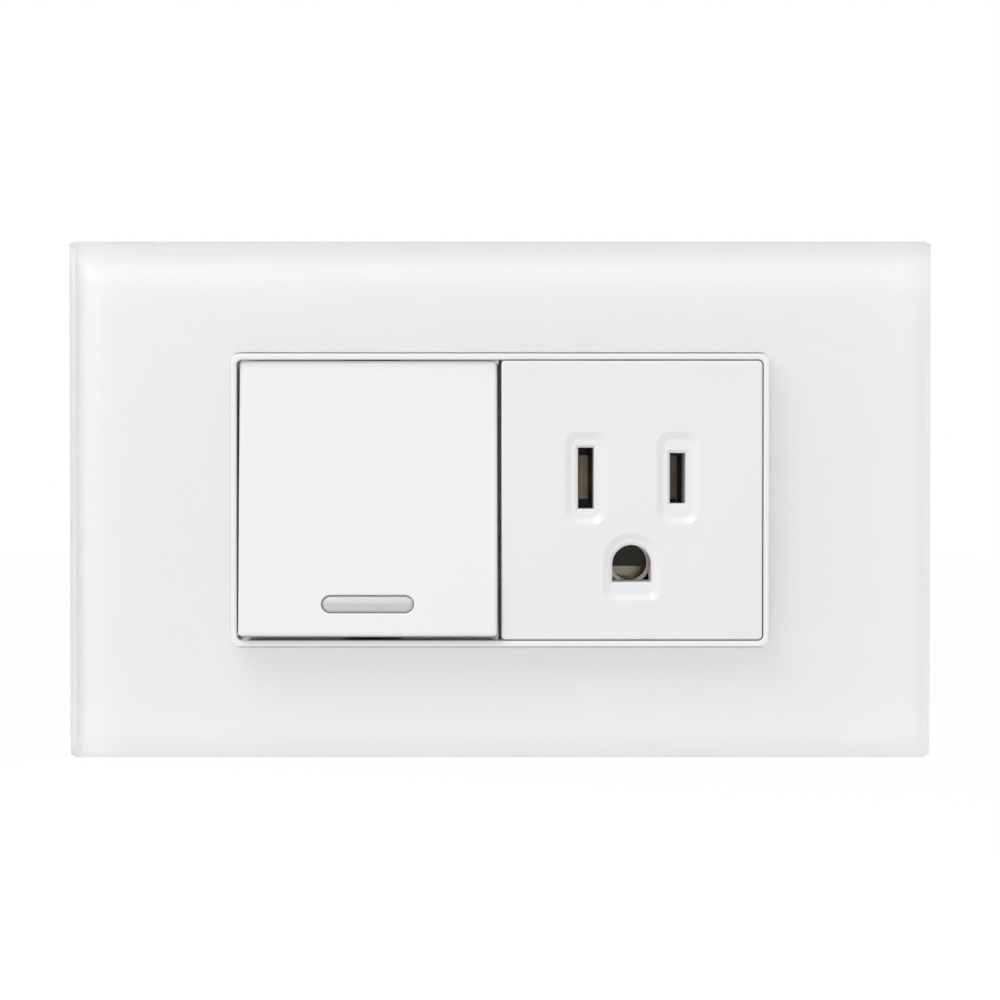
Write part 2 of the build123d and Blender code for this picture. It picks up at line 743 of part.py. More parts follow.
# Contact lever: see-saw strip with a rolled cross pin, tipped away from the plunger's side
with BuildPart() as contact_lever:
    with BuildSketch(lever_plane) as lever_strip:
        RectangleRounded(lever_width, lever_length, lever_corner)
    extrude(lever_strip.sketch, amount=lever_thickness)
    pin_start = Plane(
        origin=(-module_x - lever_pin_span / 2, lever_fulcrum, 0), x_dir=(0, 1, 0), z_dir=(1, 0, 0)
    )
    with BuildSketch(pin_start) as cross_pin:
        Circle(lever_thickness)
    extrude(cross_pin.sketch, amount=lever_pin_span)
save(contact_lever.part, "contact_lever")

# Lever contacts: one domed rivet under each end of the lever
with BuildPart() as lever_contacts:
    with BuildSketch(lever_plane) as rivet_feet:
        with Locations((0, -contact_reach), (0, contact_reach)):
            Circle(contact_radius)
    extrude(rivet_feet.sketch, amount=-contact_thickness)
    lever_normal = Axis(lever_plane.origin, lever_plane.z_dir)
    fillet(lever_contacts.edges().filter_by(GeomType.CIRCLE).sort_by(lever_normal)[:2], contact_round)
save(lever_contacts.part, "lever_contacts")

# Common terminal: cradle with two slotted cheeks for the cross pin, and a branch for the indicator
with BuildPart() as common_terminal:
    cheek_inner = lever_width / 2 + cheek_gap
    tab_x, tab_z = switch_wells[0]
    with BuildSketch(facing_user(chamber_floor, -module_x)) as common_outline:
        Rectangle(2 * (cheek_inner + strip_thickness), strip_height)
        with Locations(((tab_x + cheek_inner) / 2, 0)):
            Rectangle(tab_x - cheek_inner, strip_height)
        with Locations((tab_x, tab_z)):
            Rectangle(clamp_size, clamp_size)
        with Locations((board_pin_pitch / 2, -(board_pin_drop + branch_end) / 2)):
            Rectangle(branch_width, board_pin_drop + branch_end)
        with Locations((tab_x, tab_z)):
            Circle(terminal_screw_radius + screw_clearance, mode=Mode.SUBTRACT)
    extrude(common_outline.sketch, amount=strip_thickness)
    for side in (-1, 1):
        cheek_plane = Plane(
            origin=(side * cheek_inner - module_x, lever_fulcrum, 0), x_dir=(0, 1, 0), z_dir=(side, 0, 0)
        )
        with BuildSketch(cheek_plane) as cheek:
            with Locations(((strip_front - lever_fulcrum - cheek_rise) / 2, 0)):
                Rectangle(strip_front - lever_fulcrum + cheek_rise, strip_height)
            Circle(lever_thickness + lever_pin_gap, mode=Mode.SUBTRACT)
            with Locations((-cheek_rise, 0)):
                Rectangle(2 * cheek_rise, 2 * (lever_thickness + lever_pin_gap), mode=Mode.SUBTRACT)
        extrude(cheek.sketch, amount=strip_thickness)
save(common_terminal.part, "common_terminal")

# Upper and lower terminals: flat strips from under the fixed contacts to their clamps
for name, (tab_x, tab_z) in (("upper_terminal", switch_wells[1]), ("lower_terminal", switch_wells[2])):
    side = 1 if tab_z > 0 else -1
    with BuildPart() as throw_terminal:
        with BuildSketch(facing_user(chamber_floor, -module_x)) as throw_outline:
            with Locations(((tab_x + contact_radius + strip_contact_margin) / 2, side * contact_reach)):
                Rectangle(contact_radius + strip_contact_margin - tab_x, strip_height)
            with Locations((tab_x, tab_z)):
                Rectangle(clamp_size, clamp_size)
            with Locations((tab_x, tab_z)):
                Circle(terminal_screw_radius + screw_clearance, mode=Mode.SUBTRACT)
        extrude(throw_outline.sketch, amount=strip_thickness)
    save(throw_terminal.part, name)

# Fixed contacts: a domed rivet on each throw's strip
with BuildPart() as fixed_contacts:
    with BuildSketch(facing_user(strip_front, -module_x)) as fixed_feet:
        with Locations((0, -contact_reach), (0, contact_reach)):
            Circle(contact_radius)
    extrude(fixed_feet.sketch, amount=strip_front - fixed_contact_front)
    fillet(fixed_contacts.edges().filter_by(GeomType.CIRCLE).sort_by(Axis.Y)[:2], fixed_contact_round)
save(fixed_contacts.part, "fixed_contacts")


def clamps_and_screws(wells, centre_x, clamps_name, screws_name):
    """Square clamp plates and slotted pan-head screws, one of each in every terminal well."""
    with BuildPart() as clamps:
        with BuildSketch(facing_user(head_base, centre_x)) as plates:
            with Locations(wells):
                RectangleRounded(clamp_size, clamp_size, clamp_corner)
                Circle(terminal_screw_radius + clamp_screw_gap, mode=Mode.SUBTRACT)
        extrude(plates.sketch, amount=clamp_thickness)
    save(clamps.part, clamps_name)
    with BuildPart() as screws:
        with BuildSketch(facing_user(head_base, centre_x)) as shanks:
            with Locations(wells):
                Circle(terminal_screw_radius)
        extrude(shanks.sketch, amount=head_base - strip_front + terminal_screw_tip)
        with BuildSketch(facing_user(head_base, centre_x)) as heads:
            with Locations(wells):
                Circle(terminal_head_radius)
        extrude(heads.sketch, amount=-terminal_head_height)
        fillet(screws.edges().filter_by(GeomType.CIRCLE).sort_by(Axis.Y)[-len(wells):], terminal_head_round)
        with BuildSketch(facing_user(head_base + terminal_head_height, centre_x)) as drive_slots:
            with Locations(wells):
                Rectangle(2 * terminal_head_radius, drive_slot_width)
        extrude(drive_slots.sketch, amount=drive_slot_depth, mode=Mode.SUBTRACT)
    save(screws.part, screws_name)


clamps_and_screws(switch_wells, -body_x, "switch_terminal_clamps", "switch_terminal_screws")
clamps_and_screws(socket_wells, body_x, "socket_terminal_clamps", "socket_terminal_screws")

# Module screws: pan-head screws through the body ears and the strap into the frame's bosses
with BuildPart() as module_screws:
    with BuildSketch(facing_user(ear_thickness)) as module_shanks:
        with GridLocations(2 * body_x, 2 * module_screw_z, 2, 2):
            Circle(module_screw_radius)
    shank_length = ear_thickness - strap_front + boss_height - module_screw_tip_gap
    extrude(module_shanks.sketch, amount=shank_length)
    with BuildSketch(facing_user(ear_thickness)) as module_heads:
        with GridLocations(2 * body_x, 2 * module_screw_z, 2, 2):
            Circle(module_screw_head_radius)
    extrude(module_heads.sketch, amount=-module_screw_head_height)
    fillet(module_screws.edges().filter_by(GeomType.CIRCLE).sort_by(Axis.Y)[-4:], module_screw_head_round)
    with BuildSketch(facing_user(ear_thickness + module_screw_head_height)) as cross_recess:
        with GridLocations(2 * body_x, 2 * module_screw_z, 2, 2):
            Rectangle(cross_recess_length, cross_recess_width)
            Rectangle(cross_recess_width, cross_recess_length)
    extrude(cross_recess.sketch, amount=cross_recess_depth, mode=Mode.SUBTRACT)
save(module_screws.part, "module_screws")

# Indicator board with its lamp, resistor and two pins down to the terminals
board_front = -cover_front - board_rail - board_thickness
board_back = board_front + board_thickness
with BuildPart() as indicator_board:
    slab(
        (board_back, board_front), (board_width, board_height),
        centre=(-module_x, -board_drop), radius=board_corner,
    )
    for x in (-board_pin_pitch / 2, board_pin_pitch / 2):
        rod(
            (board_back, board_front), board_pin_radius + thread_gap,
            (x - module_x, -board_pin_drop), Mode.SUBTRACT,
        )
save(indicator_board.part, "indicator_board")

with BuildPart() as indicator_led:
    slab(
        (board_front, board_front - lamp_base), (lamp_length, lamp_height),
        centre=(-module_x, -window_drop), radius=lamp_base_corner,
    )
    with BuildSketch(facing_user(board_front - lamp_base, -module_x, -window_drop)) as lamp_dome:
        SlotOverall(lamp_dome_length, lamp_dome_height)
    extrude(lamp_dome.sketch, amount=lamp_depth - lamp_base)
    fillet(indicator_led.faces().sort_by(Axis.Y)[0].edges(), lamp_dome_round)
save(indicator_led.part, "indicator_led")

with BuildPart() as board_resistor:
    resistor_x = lamp_length / 2 + lamp_resistor_gap + resistor_length / 2
    waist_half = resistor_length / 2 - resistor_cap - resistor_shoulder
    resistor_plane = Plane(
        origin=(resistor_x - module_x, board_front - resistor_radius, -window_drop),
        x_dir=(1, 0, 0), z_dir=(0, 0, 1),
    )
    with BuildSketch(resistor_plane) as resistor_profile:
        with BuildLine():
            Polyline(
                (-resistor_length / 2, 0),
                (-resistor_length / 2, resistor_radius),
                (-waist_half - resistor_shoulder, resistor_radius),
                (-waist_half, resistor_waist),
                (waist_half, resistor_waist),
                (waist_half + resistor_shoulder, resistor_radius),
                (resistor_length / 2, resistor_radius),
                (resistor_length / 2, 0),
                close=True,
            )
        make_face()
    revolve(axis=Axis(resistor_plane.origin, resistor_plane.x_dir))
save(board_resistor.part, "board_resistor")

with BuildPart() as board_pins:
    for x in (-board_pin_pitch / 2, board_pin_pitch / 2):
        rod((strip_front, board_front - board_pin_tail), board_pin_radius, (x - module_x, -board_pin_drop))
save(board_pins.part, "board_pins")


# Socket face: shell with dished recesses, three through holes with collars, and four snap legs
face_front = rim_front - face_proud
face_width = rocker_width + rocker_side_gap - face_gap
face_height = opening_height - 2 * face_gap
dish_floor = face_front + dish_depth


def blade_slots(y, growth):
    """The two blade slots, neutral on the left, grown by the same amount on every side."""
    with BuildSketch(facing_user(y, module_x, blade_rise)) as outline:
        for side, length in ((-1, neutral_slot_length), (1, line_slot_length)):
            with Locations((side * blade_pitch / 2, 0)):
                Rectangle(blade_slot_width + 2 * growth, length + 2 * growth)
    return outline.sketch


def ground_hole(y, growth):
    """The ground hole, round above and square below, grown by the same amount on every side."""
    radius = ground_hole_radius + growth
    flat = ground_hole_flat + growth
    with BuildSketch(facing_user(y, module_x, -ground_drop)) as outline:
        Circle(radius)
        with Locations((0, -radius / 2)):
            Rectangle(2 * radius, radius)
        with Locations((0, -flat - radius / 2)):
            Rectangle(2 * radius, radius, mode=Mode.SUBTRACT)
    return outline.sketch


def ground_dish(y, inset):
    """The recess round the ground hole, half round above with two small corners below."""
    radius = ground_dish_radius - inset
    drop = ground_dish_height - ground_dish_radius - inset
    with BuildSketch(facing_user(y, module_x, ground_dish_rise - ground_drop)) as outline:
        Circle(radius)
        with Locations((0, -drop / 2)):
            Rectangle(2 * radius, drop)
        fillet(outline.vertices().group_by(Axis.Y)[0], ground_dish_corner - inset / 2)
    return outline.sketch


with BuildPart() as socket_face:
    slab(
        (-socket_split, face_front), (face_width, face_height), centre=(module_x, 0), radius=face_corner
    )
    fillet(socket_face.faces().sort_by(Axis.Y)[0].edges(), face_edge_round)
    slab(
        (-socket_split, face_front + face_wall),
        (face_width - 2 * face_skirt_wall, face_height - 2 * face_skirt_wall),
        centre=(module_x, 0), radius=face_inner_corner, mode=Mode.SUBTRACT,
    )
    collar_depth = -socket_split - face_front - face_wall
    extrude(blade_slots(-socket_split, collar_wall), amount=collar_depth)
    extrude(ground_hole(-socket_split, collar_wall), amount=collar_depth)
    for side in (-1, 1):
        dish_centre = (module_x + side * blade_pitch / 2, blade_rise)
        with BuildSketch(facing_user(face_front, *dish_centre)) as dish_rim:
            RectangleRounded(blade_dish_width, blade_dish_height, blade_dish_corner)
        with BuildSketch(facing_user(dish_floor, *dish_centre)) as dish_foot:
            RectangleRounded(
                blade_dish_width - 2 * dish_slope,
                blade_dish_height - 2 * dish_slope,
                blade_dish_corner - dish_slope / 2,
            )
        loft([dish_rim.sketch.face(), dish_foot.sketch.face()], ruled=True, mode=Mode.SUBTRACT)
    loft(
        [ground_dish(face_front, 0).face(), ground_dish(dish_floor, dish_slope).face()],
        ruled=True, mode=Mode.SUBTRACT,
    )
    hole_depth = -socket_split - dish_floor
    extrude(blade_slots(-socket_split, 0), amount=hole_depth, mode=Mode.SUBTRACT)
    extrude(ground_hole(-socket_split, 0), amount=hole_depth, mode=Mode.SUBTRACT)
    for mouth in (*blade_slots(dish_floor, slot_lead_in).faces(), ground_hole(dish_floor, slot_lead_in)):
        extrude(mouth, amount=-slot_lead_in, taper=45, mode=Mode.SUBTRACT)
    latches(body_x, -socket_split)
save(socket_face.part, "socket_face")

# Socket body: two clip chambers, a round chamber for the ground clip, and a stepped back
chamber_inner = blade_pitch / 2 - clip_chamber_width / 2
chamber_outer = blade_well_offset + well_size / 2 - clip_chamber_end
with BuildPart() as socket_body:
    step_left = blade_well_offset - well_size / 2 - body_wall
    step_top = blade_rise + well_size / 2 + body_wall
    step_bottom = blade_rise - well_size / 2 - body_wall
    low_width = body_width / 2 + step_left
    low_height = body_height / 2 + step_bottom
    cut_corners = [
        (0, (body_height / 2 + step_top) / 2, body_width, body_height / 2 - step_top),
        (low_width / 2 - body_width / 2, low_height / 2 - body_height / 2, low_width, low_height),
    ]
    mechanism_body(-socket_split, body_x, socket_wells, cut_corners)
    for side in (-1, 1):
        slab(
            (chamber_floor, -socket_split), (chamber_outer - chamber_inner, clip_chamber_height),
            centre=(body_x + side * (chamber_outer + chamber_inner) / 2, blade_rise),
            radius=clip_chamber_corner, mode=Mode.SUBTRACT,
        )
    rod(
        (chamber_floor, -socket_split), ground_chamber_radius, (body_x, -ground_drop), Mode.SUBTRACT
    )
    channel_start = -ground_strap_width / 2 - ground_strap_gap
    slab(
        (chamber_floor, -socket_split),
        (chamber_outer - channel_start, ground_strap_width + 2 * ground_strap_side_gap),
        centre=(body_x + (chamber_outer + channel_start) / 2, -ground_well_drop),
        radius=clip_chamber_corner, mode=Mode.SUBTRACT,
    )
    slab(
        (chamber_floor, strip_front - terminal_screw_tip - ground_tip_room),
        (clamp_size + 2 * ground_strap_side_gap, clamp_size + 2 * ground_strap_side_gap),
        centre=(body_x + blade_well_offset, -ground_well_drop),
        radius=clip_chamber_corner, mode=Mode.SUBTRACT,
    )
save(socket_body.part, "socket_body")

# Line and neutral contacts: a folded strip whose two leaves pinch the blade, with a flat terminal tab
clip_base = chamber_floor - clip_metal
for name, side, (tab_x, tab_z) in (
    ("neutral_contact", -1, socket_wells[0]),
    ("line_contact", 1, socket_wells[1]),
):
    with BuildPart() as blade_contact:
        clip_plane = Plane(origin=(body_x + side * blade_pitch / 2, 0, blade_rise))
        pinch = clip_gap + clip_metal / 2
        bow = clip_chamber_width / 2 - clip_metal - clip_chamber_gap
        mouth_y = clip_metal - socket_split
        with BuildSketch(clip_plane) as clip_section:
            with BuildLine() as clip_path:
                Polyline(
                    (-clip_mouth, mouth_y),
                    (-pinch, mouth_y + clip_lead),
                    (-bow, mouth_y + clip_bow_start),
                    (-bow, chamber_floor - clip_metal / 2),
                    (bow, chamber_floor - clip_metal / 2),
                    (bow, mouth_y + clip_bow_start),
                    (pinch, mouth_y + clip_lead),
                    (clip_mouth, mouth_y),
                )
            trace(clip_path.line, clip_metal)
        extrude(clip_section.sketch, amount=clip_length / 2, both=True)
        with BuildSketch(facing_user(chamber_floor, body_x)) as clip_tab:
            with Locations(((tab_x + side * blade_pitch / 2) / 2, tab_z)):
                Rectangle(abs(tab_x) - blade_pitch / 2, clip_tab_height)
            with Locations((tab_x, tab_z)):
                Rectangle(clamp_size, clamp_size)
                Circle(terminal_screw_radius + screw_clearance, mode=Mode.SUBTRACT)
        extrude(clip_tab.sketch, amount=clip_metal)
    save(blade_contact.part, name)

# Ground contact: split ring that grips the round pin, a neck and a strap to its terminal
with BuildPart() as ground_contact:
    ring_front = ground_ring_gap - socket_split
    with BuildSketch(facing_user(ring_front + ground_clip_depth, body_x, -ground_drop)) as split_ring:
        Circle(ground_clip_radius)
        Circle(ground_clip_radius - clip_metal, mode=Mode.SUBTRACT)
        with Locations((0, ground_clip_radius)):
            Rectangle(ground_split_width, 2 * (ground_clip_radius - ground_split_rest), mode=Mode.SUBTRACT)
    extrude(split_ring.sketch, amount=ground_clip_depth)
    with BuildSketch(facing_user(chamber_floor, body_x, -ground_drop)) as neck:
        with Locations((0, ground_neck_depth / 2 - ground_clip_radius)):
            Rectangle(ground_neck_width, ground_neck_depth)
        Circle(ground_clip_radius - clip_metal, mode=Mode.SUBTRACT)
    extrude(neck.sketch, amount=chamber_floor - ring_front - ground_clip_depth + ground_neck_lap)
    with BuildSketch(facing_user(chamber_floor, body_x, -ground_well_drop)) as ground_strap:
        with Locations((blade_well_offset / 2 - ground_strap_width / 4, 0)):
            Rectangle(blade_well_offset + ground_strap_width / 2, ground_strap_width)
        with Locations((blade_well_offset, 0)):
            Rectangle(clamp_size, clamp_size)
            Circle(terminal_screw_radius + screw_clearance, mode=Mode.SUBTRACT)
    extrude(ground_strap.sketch, amount=clip_metal)
save(ground_contact.part, "ground_contact")
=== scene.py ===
"""Looks of the glass-fronted switch and socket combination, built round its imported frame.

Metres, +Z up, -Y out of the wall towards the user. The glass pane, the white print on its back,
the guides round the socket's clamps and the plunger's spring are new pieces. Every other piece
keeps its CAD shape and gets the finish of its material.
"""

import math

import bmesh
import bpy
from mathutils import Matrix, Vector


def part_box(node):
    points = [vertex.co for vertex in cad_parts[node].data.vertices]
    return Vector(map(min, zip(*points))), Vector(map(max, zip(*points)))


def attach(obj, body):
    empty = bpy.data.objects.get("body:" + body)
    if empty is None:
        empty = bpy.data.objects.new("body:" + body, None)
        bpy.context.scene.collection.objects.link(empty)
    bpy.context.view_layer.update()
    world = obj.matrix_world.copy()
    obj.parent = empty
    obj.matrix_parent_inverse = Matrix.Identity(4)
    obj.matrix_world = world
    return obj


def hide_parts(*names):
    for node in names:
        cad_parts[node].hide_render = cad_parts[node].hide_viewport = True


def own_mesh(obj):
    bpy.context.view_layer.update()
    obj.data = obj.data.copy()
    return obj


bl_info = {
    "name": "Switch and Socket Combination",
    "version": (1, 0, 0),
    "blender": (4, 5, 0),
    "location": "View3D > Sidebar > Switch and Socket",
    "description": "Glass pane, clamp guides and finishes of a wall-mounted switch and socket",
    "category": "Add Mesh",
}

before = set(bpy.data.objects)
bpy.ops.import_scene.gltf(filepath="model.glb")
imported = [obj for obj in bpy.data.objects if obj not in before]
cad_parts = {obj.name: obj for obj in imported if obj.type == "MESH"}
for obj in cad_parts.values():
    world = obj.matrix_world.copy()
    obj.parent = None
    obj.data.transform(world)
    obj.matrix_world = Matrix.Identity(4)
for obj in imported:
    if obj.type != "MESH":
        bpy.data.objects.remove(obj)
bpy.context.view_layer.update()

MM = 0.001

# Radii to which the shading rounds the edges of each sort of piece
GLOSS_EDGE = 0.12 * MM
MATTE_EDGE = 0.18 * MM
METAL_EDGE = 0.1 * MM
# How far an edge's normal has to turn to count as an edge, as cosines
EDGE_TURN = (0.995, 0.85)

# Relief of the finishes
PEEL_STRENGTH = 0.05
PEEL_HEIGHT = 0.02 * MM
GRAIN_HEIGHT = 0.03 * MM
FINE_HEIGHT = 0.01 * MM
METAL_PITS = 700.0
METAL_POLISH = 0.25

# Rings that the mould's ejector pins leave
PIN_PITCH = 13.0 * MM
PIN_RADIUS = 1.2 * MM
PIN_GROOVE = 0.06 * MM

# Meshes
CORNER_STEPS = 12
LOOP_SPACING = 20.0 * MM
MERGE_DISTANCE = 0.0005 * MM

# Glass and print
PRINT_GAP = 0.03 * MM
PANE_SMOOTHING = 9.0
PRINT_SMOOTHING = 20.0

# Guides round the clamps
GUIDE_END_GAP = 0.05 * MM
GUIDE_OUTER_CORNER = 0.45 * MM
GUIDE_INNER_CORNER = 0.55 * MM

# Stage: each lamp's place, size and share of the key lamp's power
LAMPS = {
    "key_lamp": ((-0.30, -0.55, 0.62), 0.5, 1.0),
    "back_lamp": ((0.45, 0.60, 0.55), 0.6, 0.8),
}
FLOOR_RADIUS = 6.0
FLOOR_LEVEL = -0.25
FLOOR_GREY = 0.88
FLOOR_GLOW = 0.33

pane_low, pane_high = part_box("glass_panel")
clamps_low, clamps_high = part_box("socket_terminal_clamps")
lens_low, lens_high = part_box("indicator_lens")


# Property groups


class GlassSettings(bpy.types.PropertyGroup):
    """Sizes and tint of the glass pane and its print."""

    long_bevel: bpy.props.FloatProperty(
        name="Long-edge bevel",
        description="Width of the ground bevel along the top and bottom edges",
        default=1.6 * MM, min=0.2 * MM, unit="LENGTH",
    )
    short_bevel: bpy.props.FloatProperty(
        name="Short-edge bevel",
        description="Width of the ground bevel along the left and right edges",
        default=1.0 * MM, min=0.2 * MM, unit="LENGTH",
    )
    bevel_depth: bpy.props.FloatProperty(
        name="Bevel depth", description="How far back the ground bevel starts",
        default=1.2 * MM, min=0.2 * MM, unit="LENGTH",
    )
    corner: bpy.props.FloatProperty(
        name="Corner", description="Radius of the pane's four corners", default=0.4 * MM,
        unit="LENGTH",
    )
    opening_corner: bpy.props.FloatProperty(
        name="Opening corner", description="Radius of the opening's corners", default=1.4 * MM,
        unit="LENGTH",
    )
    opening_width: bpy.props.FloatProperty(
        name="Opening width", description="Width of the opening for the rim", default=75.0 * MM,
        unit="LENGTH",
    )
    opening_height: bpy.props.FloatProperty(
        name="Opening height", description="Height of the opening for the rim", default=41.0 * MM,
        unit="LENGTH",
    )
    arris: bpy.props.FloatProperty(
        name="Arris", description="Width of the fine chamfer along every ground edge",
        default=0.06 * MM, unit="LENGTH",
    )
    print_inset: bpy.props.FloatProperty(
        name="Print inset", description="Clear border between the print and the pane's outer edges",
        default=0.25 * MM, unit="LENGTH",
    )
    print_depth: bpy.props.FloatProperty(
        name="Print thickness", description="Thickness of the enamel", default=0.1 * MM,
        unit="LENGTH",
    )
    collar_drop: bpy.props.FloatProperty(
        name="Collar drop",
        description="From the front of the glass to the enamel on the opening's edge",
        default=0.25 * MM, unit="LENGTH",
    )
    print_color: bpy.props.FloatVectorProperty(
        name="Print colour", description="White enamel on the back of the glass", subtype="COLOR",
        size=3,
        default=(0.985, 0.985, 0.99), min=0.0, max=1.0,
    )
    index: bpy.props.FloatProperty(
        name="Refractive index",
        description="Below plain glass's 1.5, at which the print renders too dark",
        default=1.38, min=1.0, max=2.0,
    )
    tint: bpy.props.FloatVectorProperty(
        name="Glass tint", description="Colour that the glass takes through its thickness",
        subtype="COLOR",
        size=3, default=(0.998, 1.0, 0.999), min=0.0, max=1.0,
    )


class PlasticSettings(bpy.types.PropertyGroup):
    """Colours of the moulded pieces."""

    rim_color: bpy.props.FloatVectorProperty(
        name="Rim", description="Gloss white of the frame's rim", subtype="COLOR", size=3,
        default=(0.86, 0.86, 0.865), min=0.0, max=1.0,
    )
    rocker_color: bpy.props.FloatVectorProperty(
        name="Rocker", description="Gloss white of the rocker", subtype="COLOR", size=3,
        default=(0.855, 0.855, 0.865), min=0.0, max=1.0,
    )
    face_color: bpy.props.FloatVectorProperty(
        name="Socket face", description="Satin white of the socket's face", subtype="COLOR", size=3,
        default=(0.825, 0.825, 0.835), min=0.0, max=1.0,
    )
    lens_color: bpy.props.FloatVectorProperty(
        name="Lens", description="Translucent grey of the indicator's lens", subtype="COLOR",
        size=3,
        default=(0.56, 0.57, 0.58), min=0.0, max=1.0,
    )
    housing_color: bpy.props.FloatVectorProperty(
        name="Housings", description="Matte white of the mechanism housings", subtype="COLOR",
        size=3,
        default=(0.74, 0.74, 0.71), min=0.0, max=1.0,
    )


class SpringSettings(bpy.types.PropertyGroup):
    """How the plunger's spring shortens."""

    travel: bpy.props.FloatProperty(
        name="Plunger travel", description="How far the plunger pushes the spring together",
        default=0.8 * MM, unit="LENGTH",
    )
    tilt: bpy.props.FloatProperty(
        name="Tilt", description="Angle of the spring's axis at rest above the way out of the wall",
        default=math.radians(4.2), subtype="ANGLE",
    )


class GuideSettings(bpy.types.PropertyGroup):
    """Sizes of the guides round the socket's clamps."""

    clamp: bpy.props.FloatProperty(
        name="Clamp", description="Side of the square clamp that a guide surrounds",
        default=7.0 * MM, unit="LENGTH",
    )
    well: bpy.props.FloatProperty(
        name="Well", description="Side of the square well that a guide stands in", default=8.0 * MM,
        unit="LENGTH",
    )
    play: bpy.props.FloatProperty(
        name="Play", description="Gap between a guide and its clamp or well", default=0.03 * MM,
        unit="LENGTH",
    )


class StageSettings(bpy.types.PropertyGroup):
    """Camera, lamps and floor."""

    distance: bpy.props.FloatProperty(
        name="Camera distance", description="From the glass to the camera", default=0.35,
        unit="LENGTH",
    )
    elevation: bpy.props.FloatProperty(
        name="Camera elevation", description="Camera above the middle of the panel",
        default=math.radians(1.0), subtype="ANGLE",
    )
    lens: bpy.props.FloatProperty(
        name="Focal length", description="Camera lens in millimetres", default=90.6, min=20.0,
    )
    room_light: bpy.props.FloatProperty(
        name="Room light", description="Strength of the even light from all sides", default=0.74,
        min=0.0,
    )
    key_power: bpy.props.FloatProperty(
        name="Key lamp", description="Power of the soft lamp above and to the left", default=3.0,
        min=0.0, unit="POWER",
    )


# Node helpers


